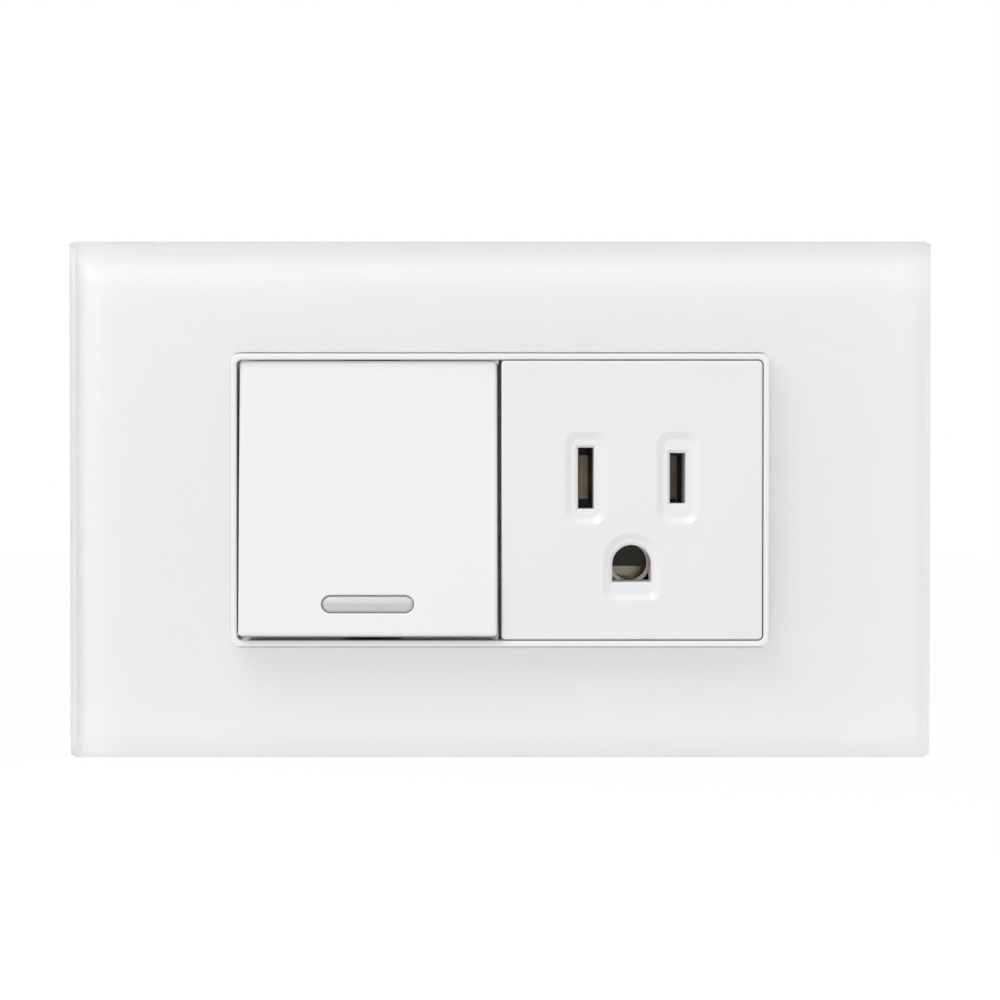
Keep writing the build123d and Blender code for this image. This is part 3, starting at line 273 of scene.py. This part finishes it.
class Finish:
    """A material under construction: one Principled shader and the nodes that feed it."""

    def __init__(self, name):
        self.material = bpy.data.materials.new(name)
        self.material.use_nodes = True
        self.tree = self.material.node_tree
        self.shader = self.tree.nodes["Principled BSDF"]
        self.coords = self.tree.nodes.new("ShaderNodeTexCoord").outputs["Object"]

    def set(self, **values):
        """Sets the shader's own sockets. Underscores stand for the spaces in their names."""
        for key, value in values.items():
            self.shader.inputs[key.replace("_", " ")].default_value = value

    def link(self, source, target):
        """Links an output to an input."""
        self.tree.links.new(source, target)

    def stretched(self, scale, rotation=(0.0, 0.0, 0.0)):
        """Object coordinates scaled differently along each axis."""
        node = self.tree.nodes.new("ShaderNodeMapping")
        node.inputs["Scale"].default_value = scale
        node.inputs["Rotation"].default_value = rotation
        self.link(self.coords, node.inputs["Vector"])
        return node.outputs["Vector"]

    def noise(self, scale, detail=2.0, roughness=0.5, vector=None):
        """Noise of so many waves in a metre."""
        node = self.tree.nodes.new("ShaderNodeTexNoise")
        node.inputs["Scale"].default_value = scale
        node.inputs["Detail"].default_value = detail
        node.inputs["Roughness"].default_value = roughness
        self.link(vector or self.coords, node.inputs["Vector"])
        return node.outputs["Fac"]

    def streaks(self, scale, rotation=(0.0, 0.0, 0.0), detail=2.0):
        """Noise of so many waves in a metre along each axis."""
        return self.noise(1.0, detail=detail, vector=self.stretched(scale, rotation))

    def cells(self, scale):
        """Cell pattern of so many cells in a metre."""
        node = self.tree.nodes.new("ShaderNodeTexVoronoi")
        node.inputs["Scale"].default_value = scale
        self.link(self.coords, node.inputs["Vector"])
        return node.outputs["Distance"]

    def ramp(self, fac, *stops):
        """Colour ramp through (position, colour) stops. A number stands for a grey."""
        node = self.tree.nodes.new("ShaderNodeValToRGB")
        band = node.color_ramp.elements
        while len(band) < len(stops):
            band.new(0.5)
        for element, (position, colour) in zip(band, stops):
            element.position = position
            grey = isinstance(colour, (int, float))
            element.color = (colour, colour, colour, 1.0) if grey else (*colour, 1.0)
        self.link(fac, node.inputs["Fac"])
        return node.outputs["Color"]

    def mixed(self, fac, first, second):
        """Mix of two colours or outputs by a factor."""
        node = self.tree.nodes.new("ShaderNodeMix")
        node.data_type = "RGBA"
        self.link(fac, node.inputs["Factor"])
        for socket, value in ((node.inputs["A"], first), (node.inputs["B"], second)):
            if isinstance(value, bpy.types.NodeSocket):
                self.link(value, socket)
            else:
                socket.default_value = (*value, 1.0)
        return node.outputs["Result"]

    def math(self, operation, first, second=0.0):
        """Arithmetic on two outputs or numbers."""
        node = self.tree.nodes.new("ShaderNodeMath")
        node.operation = operation
        for socket, value in zip(node.inputs, (first, second)):
            if isinstance(value, bpy.types.NodeSocket):
                self.link(value, socket)
            else:
                socket.default_value = value
        return node.outputs["Value"]

    def remap(self, value, start=(0.0, 1.0), end=(0.0, 1.0)):
        """Maps a value from one range onto another and holds it at the ends."""
        node = self.tree.nodes.new("ShaderNodeMapRange")
        for name, number in zip(("From Min", "From Max", "To Min", "To Max"), (*start, *end)):
            node.inputs[name].default_value = number
        self.link(value, node.inputs["Value"])
        return node.outputs["Result"]

    def spread(self, fac, low, high):
        """Maps a factor from 0 to 1 onto a range."""
        return self.remap(fac, end=(low, high))

    def relief(self, height, strength, distance, normal=None):
        """Bump from a height, in metres."""
        node = self.tree.nodes.new("ShaderNodeBump")
        node.inputs["Strength"].default_value = strength
        node.inputs["Distance"].default_value = distance
        self.link(height, node.inputs["Height"])
        if normal is not None:
            self.link(normal, node.inputs["Normal"])
        return node.outputs["Normal"]

    def eased(self, radius):
        """Normal that rounds edges by a radius, and its turn: 0 on a flat, 1 on an edge."""
        node = self.tree.nodes.new("ShaderNodeBevel")
        node.samples = 6
        node.inputs["Radius"].default_value = radius
        flat = self.tree.nodes.new("ShaderNodeNewGeometry").outputs["Normal"]
        dot = self.tree.nodes.new("ShaderNodeVectorMath")
        dot.operation = "DOT_PRODUCT"
        self.link(node.outputs["Normal"], dot.inputs[0])
        self.link(flat, dot.inputs[1])
        return node.outputs["Normal"], self.remap(dot.outputs["Value"], EDGE_TURN)

    def split(self, vector):
        """The three parts of a vector, as separate outputs."""
        node = self.tree.nodes.new("ShaderNodeSeparateXYZ")
        self.link(vector, node.inputs["Vector"])
        return node.outputs

    def pin_marks(self):
        """Rings of ejector pins on front and back faces: 1 in a ring's groove, 0 elsewhere."""
        place = self.split(self.coords)
        x = self.math("PINGPONG", place["X"], PIN_PITCH / 2)
        z = self.math("PINGPONG", place["Z"], PIN_PITCH / 2)
        square = self.math("ADD", self.math("POWER", x, 2.0), self.math("POWER", z, 2.0))
        off = self.math("ABSOLUTE", self.math("SUBTRACT", self.math("SQRT", square), PIN_RADIUS))
        geometry = self.tree.nodes.new("ShaderNodeNewGeometry")
        facing = self.math("ABSOLUTE", self.split(geometry.outputs["Normal"])["Y"])
        flat = self.math("GREATER_THAN", facing, 0.95)
        return self.math("MULTIPLY", self.math("LESS_THAN", off, PIN_GROOVE), flat)

    def along(self, axis, start, end):
        """0 before one place on an axis, 1 past the other, and even between them."""
        return self.remap(self.split(self.coords)[axis], (start, end))

    def feed(self, **sources):
        """Links outputs to the shader's inputs."""
        for key, source in sources.items():
            self.link(source, self.shader.inputs[key.replace("_", " ")])


def shade(colour, factor):
    """A colour made lighter or darker by a factor."""
    return tuple(min(1.0, channel * factor) for channel in colour)


def gloss_plastic(name, colour, roughness=0.22):
    """Polished moulding: faint cloudiness, orange peel, and hairline handling marks."""
    finish = Finish(name)
    cloud = finish.noise(45.0, detail=3.0)
    fine = finish.noise(900.0, detail=2.0)
    tone = finish.ramp(cloud, (0.3, shade(colour, 0.985)), (0.7, shade(colour, 1.008)))
    speck = finish.ramp(fine, (0.35, shade(colour, 0.99)), (0.65, colour))
    base = finish.mixed(finish.spread(fine, 0.2, 0.5), tone, speck)
    round_normal, edge = finish.eased(GLOSS_EDGE)
    worn = finish.math("MULTIPLY", edge, finish.spread(fine, 0.1, 0.5))
    base = finish.mixed(worn, base, shade(colour, 1.04))
    peel = finish.noise(520.0, detail=1.0)
    hairlines = finish.streaks((2600.0, 600.0, 90.0), (0.0, 0.6, 0.0))
    rough = finish.math("ADD", finish.spread(cloud, roughness * 0.8, roughness * 1.2),
                        finish.spread(hairlines, -0.03, 0.03))
    rough = finish.math("ADD", rough, finish.spread(edge, 0.0, 0.08))
    wave = finish.relief(peel, PEEL_STRENGTH, PEEL_HEIGHT, round_normal)
    normal = finish.relief(hairlines, 0.03, FINE_HEIGHT, wave)
    finish.set(IOR=1.5)
    finish.feed(Base_Color=base, Roughness=rough, Normal=normal)
    return finish.material


def matte_plastic(name, colour, grain=2600.0, depth=0.35):
    """Spark-eroded moulding: fine even grain, slight flow marks and a dull sheen."""
    finish = Finish(name)
    flow = finish.streaks((70.0, 70.0, 25.0), detail=3.0)
    grains = finish.noise(grain, detail=2.0, roughness=0.6)
    tone = finish.ramp(flow, (0.3, shade(colour, 0.95)), (0.7, shade(colour, 1.03)))
    base = finish.mixed(finish.spread(grains, 0.0, 0.35), tone, shade(colour, 0.9))
    round_normal, edge = finish.eased(MATTE_EDGE)
    rubbed = finish.math("MULTIPLY", edge, finish.spread(grains, 0.2, 0.7))
    base = finish.mixed(rubbed, base, shade(colour, 1.12))
    base = finish.mixed(finish.pin_marks(), base, shade(colour, 0.84))
    dull, polish = finish.spread(grains, 0.5, 0.68), finish.spread(edge, 0.0, 0.12)
    finish.feed(
        Base_Color=base,
        Roughness=finish.math("SUBTRACT", dull, polish),
        Normal=finish.relief(grains, depth, GRAIN_HEIGHT, round_normal),
    )
    finish.set(IOR=1.5)
    return finish.material


def plain_metal(name, light, dark, roughness, grain=(900.0, 60.0, 900.0)):
    """Rolled or plated metal: drawn grain, small pits and a patchy tarnish."""
    finish = Finish(name)
    tarnish = finish.noise(160.0, detail=4.0, roughness=0.6)
    drawn = finish.streaks(grain, detail=3.0)
    spots = finish.cells(METAL_PITS)
    base = finish.ramp(tarnish, (0.32, dark), (0.62, light))
    round_normal, edge = finish.eased(METAL_EDGE)
    streaked = finish.mixed(finish.spread(drawn, 0.0, 0.4), base, shade(light, 0.82))
    rubbed = finish.math("MULTIPLY", edge, finish.spread(tarnish, 0.3, 0.9))
    worn = finish.mixed(rubbed, streaked, shade(light, 1.15))
    rough = finish.math("ADD", finish.spread(tarnish, roughness * 1.25, roughness * 0.8),
                        finish.spread(drawn, -0.05, 0.05))
    wave = finish.relief(drawn, METAL_POLISH, FINE_HEIGHT, round_normal)
    normal = finish.relief(spots, METAL_POLISH * 0.5, FINE_HEIGHT, wave)
    finish.set(Metallic=1.0)
    finish.feed(Base_Color=worn, Roughness=rough, Normal=normal)
    return finish.material


# Mesh helpers


def rounded_loop(bm, width, height, radius, y):
    """Closed loop of edges round a rounded rectangle that faces the user at depth y."""
    before = set(bm.edges)
    verts = bmesh.ops.create_grid(bm, x_segments=1, y_segments=1, size=0.5)["verts"]
    bmesh.ops.scale(bm, vec=(width, height, 1.0), verts=verts)
    upright = Matrix.Rotation(math.radians(90), 3, "X")
    bmesh.ops.rotate(bm, cent=(0, 0, 0), matrix=upright, verts=verts)
    bmesh.ops.translate(bm, vec=(0.0, y, 0.0), verts=verts)
    rounded = bmesh.ops.bevel(
        bm, geom=verts, offset=radius, segments=CORNER_STEPS, profile=0.5, affect="VERTICES",
        material=-1,
    )
    faces = {f for v in rounded["verts"] for f in v.link_faces}
    bmesh.ops.delete(bm, geom=list(faces), context="FACES_ONLY")
    return [e for e in bm.edges if e not in before]


def ring(bm, *sections):
    """Skin of a closed ring through rounded rectangles: width, height, corner and depth each.
    Loops in one plane join badly, so they are joined spaced apart and then moved into place."""
    loops = [rounded_loop(bm, *section[:3], LOOP_SPACING * i) for i, section in enumerate(sections)]
    for first, second in zip(loops, loops[1:] + loops[:1]):
        bmesh.ops.bridge_loops(bm, edges=first + second)
    for i, (loop, section) in enumerate(zip(loops, sections)):
        verts = list({v for edge in loop for v in edge.verts})
        bmesh.ops.translate(bm, vec=(0.0, section[3] - LOOP_SPACING * i, 0.0), verts=verts)
    bmesh.ops.recalc_face_normals(bm, faces=bm.faces[:])


def piece(bm, name, material, body, slot, *replaced, smooth_angle=35.0):
    """Turns a bmesh into a piece on a body, with its finish, and hides the nodes that it stands
    for. Its slot is not used.
    """
    bmesh.ops.remove_doubles(bm, verts=bm.verts[:], dist=MERGE_DISTANCE)
    bmesh.ops.recalc_face_normals(bm, faces=bm.faces[:])
    mesh = bpy.data.meshes.new(name)
    bm.to_mesh(mesh)
    bm.free()
    mesh.shade_smooth()
    mesh.set_sharp_from_angle(angle=math.radians(smooth_angle))
    mesh.materials.append(material)
    obj = bpy.data.objects.new(name, mesh)
    bpy.context.scene.collection.objects.link(obj)
    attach(obj, body)
    if replaced:
        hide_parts(*replaced)
    return obj


def dress(material, *nodes):
    """Gives CAD nodes a finish in their own material slots."""
    for name in nodes:
        for material_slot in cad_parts[name].material_slots:
            material_slot.material = material


def seen_white(nodes, links):
    """1 for rays from the camera, from reflections and out of glass, which see plain white."""
    path = nodes.new("ShaderNodeLightPath")
    total = path.outputs["Is Camera Ray"]
    for name in ("Is Glossy Ray", "Is Transmission Ray"):
        both = nodes.new("ShaderNodeMath")
        both.operation = "MAXIMUM"
        links.new(total, both.inputs[0])
        links.new(path.outputs[name], both.inputs[1])
        total = both.outputs["Value"]
    return total


# Stage helpers


def add_camera(scene, stage, aim):
    """Camera a little above the panel's middle, aimed at it."""
    back = Vector((0.0, -math.cos(stage.elevation), math.sin(stage.elevation)))
    camera = bpy.data.objects.new("camera", bpy.data.cameras.new("camera"))
    camera.data.lens = stage.lens
    camera.data.clip_start = 0.01
    camera.location = aim + back * stage.distance
    camera.rotation_euler = (-back).to_track_quat("-Z", "Y").to_euler()
    scene.collection.objects.link(camera)
    scene.camera = camera


def add_lamp(scene, name, place, aim, size, power):
    """Square soft lamp aimed at the panel."""
    lamp = bpy.data.objects.new(name, bpy.data.lights.new(name, "AREA"))
    lamp.data.size = size
    lamp.data.energy = power
    lamp.location = place
    lamp.rotation_euler = (place - aim).to_track_quat("Z", "Y").to_euler()
    scene.collection.objects.link(lamp)


def add_surroundings(scene, room_light):
    """Even light from all sides that looks white to the camera, in gloss and through glass."""
    world = bpy.data.worlds.new("surroundings")
    world.use_nodes = True
    scene.world = world
    nodes, links = world.node_tree.nodes, world.node_tree.links
    nodes.clear()
    mix = nodes.new("ShaderNodeMixShader")
    links.new(seen_white(nodes, links), mix.inputs[0])
    for socket, strength in ((mix.inputs[1], room_light), (mix.inputs[2], 1.0)):
        light = nodes.new("ShaderNodeBackground")
        light.inputs["Color"].default_value = (1.0, 1.0, 1.0, 1.0)
        light.inputs["Strength"].default_value = strength
        links.new(light.outputs["Background"], socket)
    output = nodes.new("ShaderNodeOutputWorld")
    links.new(mix.outputs["Shader"], output.inputs["Surface"])


def add_floor(scene):
    """Round pale floor that keeps the panel's shadow."""
    bm = bmesh.new()
    bmesh.ops.create_circle(bm, cap_ends=True, segments=64, radius=FLOOR_RADIUS)
    bmesh.ops.translate(bm, vec=(0.0, 0.0, FLOOR_LEVEL), verts=bm.verts[:])
    mesh = bpy.data.meshes.new("floor")
    bm.to_mesh(mesh)
    bm.free()
    floor = bpy.data.objects.new("floor", mesh)
    scene.collection.objects.link(floor)
    material = bpy.data.materials.new("pale_floor")
    material.use_nodes = True
    nodes, links = material.node_tree.nodes, material.node_tree.links
    nodes.clear()
    diffuse = nodes.new("ShaderNodeBsdfDiffuse")
    diffuse.inputs["Color"].default_value = (FLOOR_GREY, FLOOR_GREY, FLOOR_GREY, 1.0)
    glow = nodes.new("ShaderNodeEmission")
    glow.inputs["Color"].default_value = (FLOOR_GLOW, FLOOR_GLOW, FLOOR_GLOW, 1.0)
    links.new(seen_white(nodes, links), glow.inputs["Strength"])
    add = nodes.new("ShaderNodeAddShader")
    output = nodes.new("ShaderNodeOutputMaterial")
    links.new(diffuse.outputs["BSDF"], add.inputs[0])
    links.new(glow.outputs["Emission"], add.inputs[1])
    links.new(add.outputs["Shader"], output.inputs["Surface"])
    mesh.materials.append(material)


# Operators


class SWITCHSOCKET_OT_glass(bpy.types.Operator):
    """Models the bevelled glass pane and the white print on its back"""

    bl_idname = "switchsocket.glass"
    bl_label = "Glass Pane and Print"

    def execute(self, context):
        glass = context.scene.switchsocket_glass
        size = (pane_high.x - pane_low.x, pane_high.z - pane_low.z)
        opening = (glass.opening_width, glass.opening_height)
        front, back = pane_low.y, pane_high.y

        finish = Finish("clear_glass")
        smudge = finish.noise(60.0, detail=4.0, roughness=0.6)
        wipe = finish.streaks((40.0, 40.0, 700.0), (0.0, 0.5, 0.0))
        smudged, wiped = finish.spread(smudge, 0.0, 0.02), finish.spread(wipe, 0.6, 1.0)
        finish.set(Base_Color=(*glass.tint, 1.0), Transmission_Weight=1.0, IOR=glass.index)
        finish.feed(
            Roughness=finish.math("MULTIPLY", smudged, wiped),
            Normal=finish.relief(finish.noise(90.0, detail=1.0), PEEL_STRENGTH, PEEL_HEIGHT),
        )

        bm = bmesh.new()
        foot = front + glass.bevel_depth
        fine = glass.arris
        near = (opening[0] + 2 * fine, opening[1] + 2 * fine, glass.opening_corner + fine)
        ring(
            bm,
            (size[0] - 2 * fine, size[1] - 2 * fine, glass.corner, back),
            (*size, glass.corner, back - fine),
            (*size, glass.corner, foot),
            (size[0] - 2 * glass.short_bevel, size[1] - 2 * glass.long_bevel, glass.corner, front),
            (*near, front),
            (*opening, glass.opening_corner, front + fine),
            (*opening, glass.opening_corner, back - fine),
            (*near, back),
        )
        piece(bm, "glass_pane", finish.material, "housing", "white_glass", "glass_panel",
              smooth_angle=PANE_SMOOTHING)

        enamel = Finish("white_enamel")
        cloud = enamel.noise(35.0, detail=3.0)
        grain = enamel.noise(1500.0, detail=2.0)
        white = glass.print_color
        tone = enamel.ramp(cloud, (0.3, shade(white, 0.992)), (0.7, white))
        enamel.feed(
            Base_Color=enamel.mixed(enamel.spread(grain, 0.0, 0.2), tone, shade(white, 0.97)),
            Roughness=enamel.spread(grain, 0.45, 0.6),
            Normal=enamel.relief(grain, 0.05, FINE_HEIGHT),
        )
        bm = bmesh.new()
        skin = PRINT_GAP
        thick = glass.print_depth
        rear = back - skin
        sheet = (size[0] - 2 * glass.print_inset, size[1] - 2 * glass.print_inset)
        lip = front + glass.collar_drop
        lap = skin + thick
        outer = (opening[0] + 2 * lap, opening[1] + 2 * lap, glass.opening_corner + lap)
        inner = (opening[0] + 2 * skin, opening[1] + 2 * skin, glass.opening_corner + skin)
        ring(
            bm,
            (*sheet, glass.corner, rear),
            (*sheet, glass.corner, rear - thick),
            (*outer, rear - thick),
            (*outer, lip),
            (*inner, lip),
            (*inner, rear),
        )
        piece(bm, "back_print", enamel.material, "housing", "white_glass", "glass_panel",
              smooth_angle=PRINT_SMOOTHING)
        return {"FINISHED"}


class SWITCHSOCKET_OT_lens(bpy.types.Operator):
    """Finishes the indicator's crowned lens, with a painted highlight on its upper part and painted
    shade at its bottom
    """

    bl_idname = "switchsocket.lens"
    bl_label = "Indicator Lens"

    def execute(self, context):
        colour = context.scene.switchsocket_plastic.lens_color
        finish = Finish("light_guide_plastic")
        cloud = finish.noise(400.0, detail=3.0)
        finish.set(IOR=1.49, Subsurface_Weight=0.3, Subsurface_Scale=0.5 * MM)
        finish.set(Coat_Weight=0.6, Coat_Roughness=0.06)
        middle = (lens_low.z + lens_high.z) / 2
        # Painted light: a painted highlight above the lens's middle and painted shade towards its
        # bottom, set by height on the lens
        painted_top_highlight = finish.along("Z", middle + 0.1 * MM, middle + 0.45 * MM)
        painted_bottom_shade = finish.along("Z", middle - 0.2 * MM, lens_low.z)
        body = finish.ramp(cloud, (0.3, shade(colour, 0.97)), (0.7, shade(colour, 1.03)))
        body = finish.mixed(painted_top_highlight, body, shade(colour, 1.22))
        finish.feed(
            Base_Color=finish.mixed(painted_bottom_shade, body, shade(colour, 0.88)),
            Roughness=finish.spread(cloud, 0.18, 0.28),
            Normal=finish.relief(finish.noise(1400.0), 0.06, FINE_HEIGHT),
        )
        dress(finish.material, "indicator_lens")
        return {"FINISHED"}


class SWITCHSOCKET_OT_plastics(bpy.types.Operator):
    """Finishes the gloss mouldings that the user sees: rim, rocker and socket face"""

    bl_idname = "switchsocket.plastics"
    bl_label = "Front Mouldings"

    def execute(self, context):
        plastic = context.scene.switchsocket_plastic
        rim = gloss_plastic("rim_gloss", plastic.rim_color, 0.18)
        rocker = gloss_plastic("rocker_gloss", plastic.rocker_color, 0.2)
        satin = gloss_plastic("socket_satin", plastic.face_color, 0.3)
        dress(rim, "module_frame")
        dress(rocker, "rocker_button")
        dress(satin, "socket_face")
        return {"FINISHED"}


class SWITCHSOCKET_OT_housings(bpy.types.Operator):
    """Finishes the matte mouldings behind the panel and the foam tape"""

    bl_idname = "switchsocket.housings"
    bl_label = "Housings and Carrier"

    def execute(self, context):
        colour = context.scene.switchsocket_plastic.housing_color
        grain = matte_plastic("housing_grain", colour)
        dress(grain, "switch_body", "switch_cover", "socket_body")
        carrier = matte_plastic("carrier_grain", shade(colour, 1.06), grain=1800.0, depth=0.25)
        dress(carrier, "panel_carrier")
        foam = matte_plastic("foam_cells", (0.66, 0.66, 0.63), grain=3600.0, depth=0.8)
        dress(foam, "bonding_tape")
        nylon = matte_plastic("natural_nylon", (0.80, 0.77, 0.66), grain=1500.0, depth=0.1)
        dress(nylon, "plunger")
        return {"FINISHED"}


class SWITCHSOCKET_OT_guides(bpy.types.Operator):
    """Models the square ribs that guide the socket's clamps in their wells"""

    bl_idname = "switchsocket.guides"
    bl_label = "Clamp Guides"

    def execute(self, context):
        guide = context.scene.switchsocket_guide
        half = guide.clamp / 2
        left, right = clamps_low.x + half, clamps_high.x - half
        upper, lower = clamps_high.z - half, clamps_low.z + half
        outer = guide.well - 2 * guide.play
        inner = guide.clamp + 2 * guide.play
        front, rear = clamps_low.y + GUIDE_END_GAP, clamps_high.y - GUIDE_END_GAP
        bm = bmesh.new()
        for x, z in ((left, upper), (right, upper), (right, lower)):
            before = set(bm.verts)
            ring(
                bm,
                (outer, outer, GUIDE_OUTER_CORNER, rear),
                (outer, outer, GUIDE_OUTER_CORNER, front),
                (inner, inner, GUIDE_INNER_CORNER, front),
                (inner, inner, GUIDE_INNER_CORNER, rear),
            )
            placed = [v for v in bm.verts if v not in before]
            bmesh.ops.translate(bm, vec=(x, 0.0, z), verts=placed)
        colour = context.scene.switchsocket_plastic.housing_color
        grain = matte_plastic("guide_grain", shade(colour, 0.95))
        piece(bm, "clamp_guides", grain, "housing", "housing_plastic", smooth_angle=30.0)
        return {"FINISHED"}


class SWITCHSOCKET_OT_metals(bpy.types.Operator):
    """Finishes the strap, screws, terminals and contacts"""

    bl_idname = "switchsocket.metals"
    bl_label = "Strap, Screws and Contacts"

    def execute(self, context):
        zinc = plain_metal(
            "zinc_plate", (0.64, 0.65, 0.67), (0.57, 0.58, 0.60), 0.36, (40.0, 900.0, 1400.0),
        )
        screw = plain_metal(
            "screw_zinc", (0.62, 0.62, 0.60), (0.46, 0.45, 0.42), 0.3, (700.0, 700.0, 700.0),
        )
        brass = plain_metal("stamped_brass", (0.78, 0.58, 0.27), (0.62, 0.43, 0.18), 0.3)
        bronze = plain_metal("tinned_bronze", (0.66, 0.60, 0.50), (0.50, 0.43, 0.33), 0.35)
        silver = plain_metal("contact_silver_finish", (0.80, 0.79, 0.76), (0.66, 0.64, 0.58), 0.2)
        tin = plain_metal("tinned_pin", (0.74, 0.74, 0.72), (0.60, 0.60, 0.58), 0.24)
        dress(zinc, "steel_yoke")
        dress(screw, "module_screws", "switch_terminal_screws", "socket_terminal_screws")
        dress(brass, "switch_terminal_clamps", "socket_terminal_clamps", "common_terminal",
              "upper_terminal", "lower_terminal", "contact_lever")
        dress(bronze, "line_contact", "neutral_contact", "ground_contact")
        dress(silver, "lever_contacts", "fixed_contacts")
        dress(tin, "board_pins")
        return {"FINISHED"}


class SWITCHSOCKET_OT_spring(bpy.types.Operator):
    """Copies the plunger's spring into a piece of its own on the rocker's body"""

    bl_idname = "switchsocket.spring"
    bl_label = "Plunger Spring"

    def execute(self, context):
        wire = plain_metal("spring_wire_finish", (0.58, 0.58, 0.58), (0.44, 0.44, 0.44), 0.25)
        bm = bmesh.new()
        bm.from_mesh(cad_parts["plunger_spring"].data)
        coil = piece(bm, "coiled_spring", wire, "rocker", "spring_steel", "plunger_spring",
                     smooth_angle=60.0)
        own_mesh(coil)
        return {"FINISHED"}


class SWITCHSOCKET_OT_board(bpy.types.Operator):
    """Finishes the indicator's board, lamp and resistor"""

    bl_idname = "switchsocket.board"
    bl_label = "Indicator Board"

    def execute(self, context):
        mask = matte_plastic("board_mask", (0.05, 0.22, 0.10), grain=1200.0, depth=0.15)
        dress(mask, "indicator_board")
        resin = gloss_plastic("lamp_resin_finish", (0.80, 0.80, 0.68), 0.25)
        dress(resin, "indicator_led")
        lacquer = gloss_plastic("resistor_lacquer_finish", (0.46, 0.33, 0.18), 0.3)
        dress(lacquer, "board_resistor")
        return {"FINISHED"}


class SWITCHSOCKET_OT_stage(bpy.types.Operator):
    """Sets the camera, the soft lamps, the pale floor and the white surroundings"""

    bl_idname = "switchsocket.stage"
    bl_label = "Stage"

    def execute(self, context):
        scene = context.scene
        stage = scene.switchsocket_stage
        aim = Vector((0.0, pane_low.y, 0.0))
        add_camera(scene, stage, aim)
        for name, (place, size, share) in LAMPS.items():
            add_lamp(scene, name, Vector(place), aim, size, stage.key_power * share)
        add_surroundings(scene, stage.room_light)
        add_floor(scene)
        scene.view_settings.view_transform = "Standard"
        return {"FINISHED"}


class SWITCHSOCKET_PT_panel(bpy.types.Panel):
    """Lists the pieces and their settings"""

    bl_idname = "SWITCHSOCKET_PT_panel"
    bl_label = "Switch and Socket"
    bl_space_type = "VIEW_3D"
    bl_region_type = "UI"
    bl_category = "Switch and Socket"

    def draw(self, context):
        scene = context.scene
        for group in (getattr(scene, name) for name in SETTINGS):
            box = self.layout.box()
            for name in group.__annotations__:
                box.prop(group, name)
        for operator in OPERATORS:
            self.layout.operator(operator.bl_idname)


SETTINGS = {
    "switchsocket_glass": GlassSettings,
    "switchsocket_plastic": PlasticSettings,
    "switchsocket_guide": GuideSettings,
    "switchsocket_spring": SpringSettings,
    "switchsocket_stage": StageSettings,
}
OPERATORS = (
    SWITCHSOCKET_OT_glass,
    SWITCHSOCKET_OT_lens,
    SWITCHSOCKET_OT_plastics,
    SWITCHSOCKET_OT_housings,
    SWITCHSOCKET_OT_guides,
    SWITCHSOCKET_OT_metals,
    SWITCHSOCKET_OT_spring,
    SWITCHSOCKET_OT_board,
    SWITCHSOCKET_OT_stage,
)


def register():
    """Registers the settings, the operators and the panel."""
    for name, group in SETTINGS.items():
        bpy.utils.register_class(group)
        setattr(bpy.types.Scene, name, bpy.props.PointerProperty(type=group))
    for operator in OPERATORS:
        bpy.utils.register_class(operator)
    bpy.utils.register_class(SWITCHSOCKET_PT_panel)


def unregister():
    """Removes what register added, in reverse order."""
    bpy.utils.unregister_class(SWITCHSOCKET_PT_panel)
    for operator in reversed(OPERATORS):
        bpy.utils.unregister_class(operator)
    for name, group in reversed(list(SETTINGS.items())):
        delattr(bpy.types.Scene, name)
        bpy.utils.unregister_class(group)


def main():
    """Builds every piece and finish."""
    register()
    bpy.ops.switchsocket.glass()
    bpy.ops.switchsocket.lens()
    bpy.ops.switchsocket.plastics()
    bpy.ops.switchsocket.housings()
    bpy.ops.switchsocket.guides()
    bpy.ops.switchsocket.metals()
    bpy.ops.switchsocket.spring()
    bpy.ops.switchsocket.board()
    bpy.ops.switchsocket.stage()


if __name__ == "__main__":
    main()
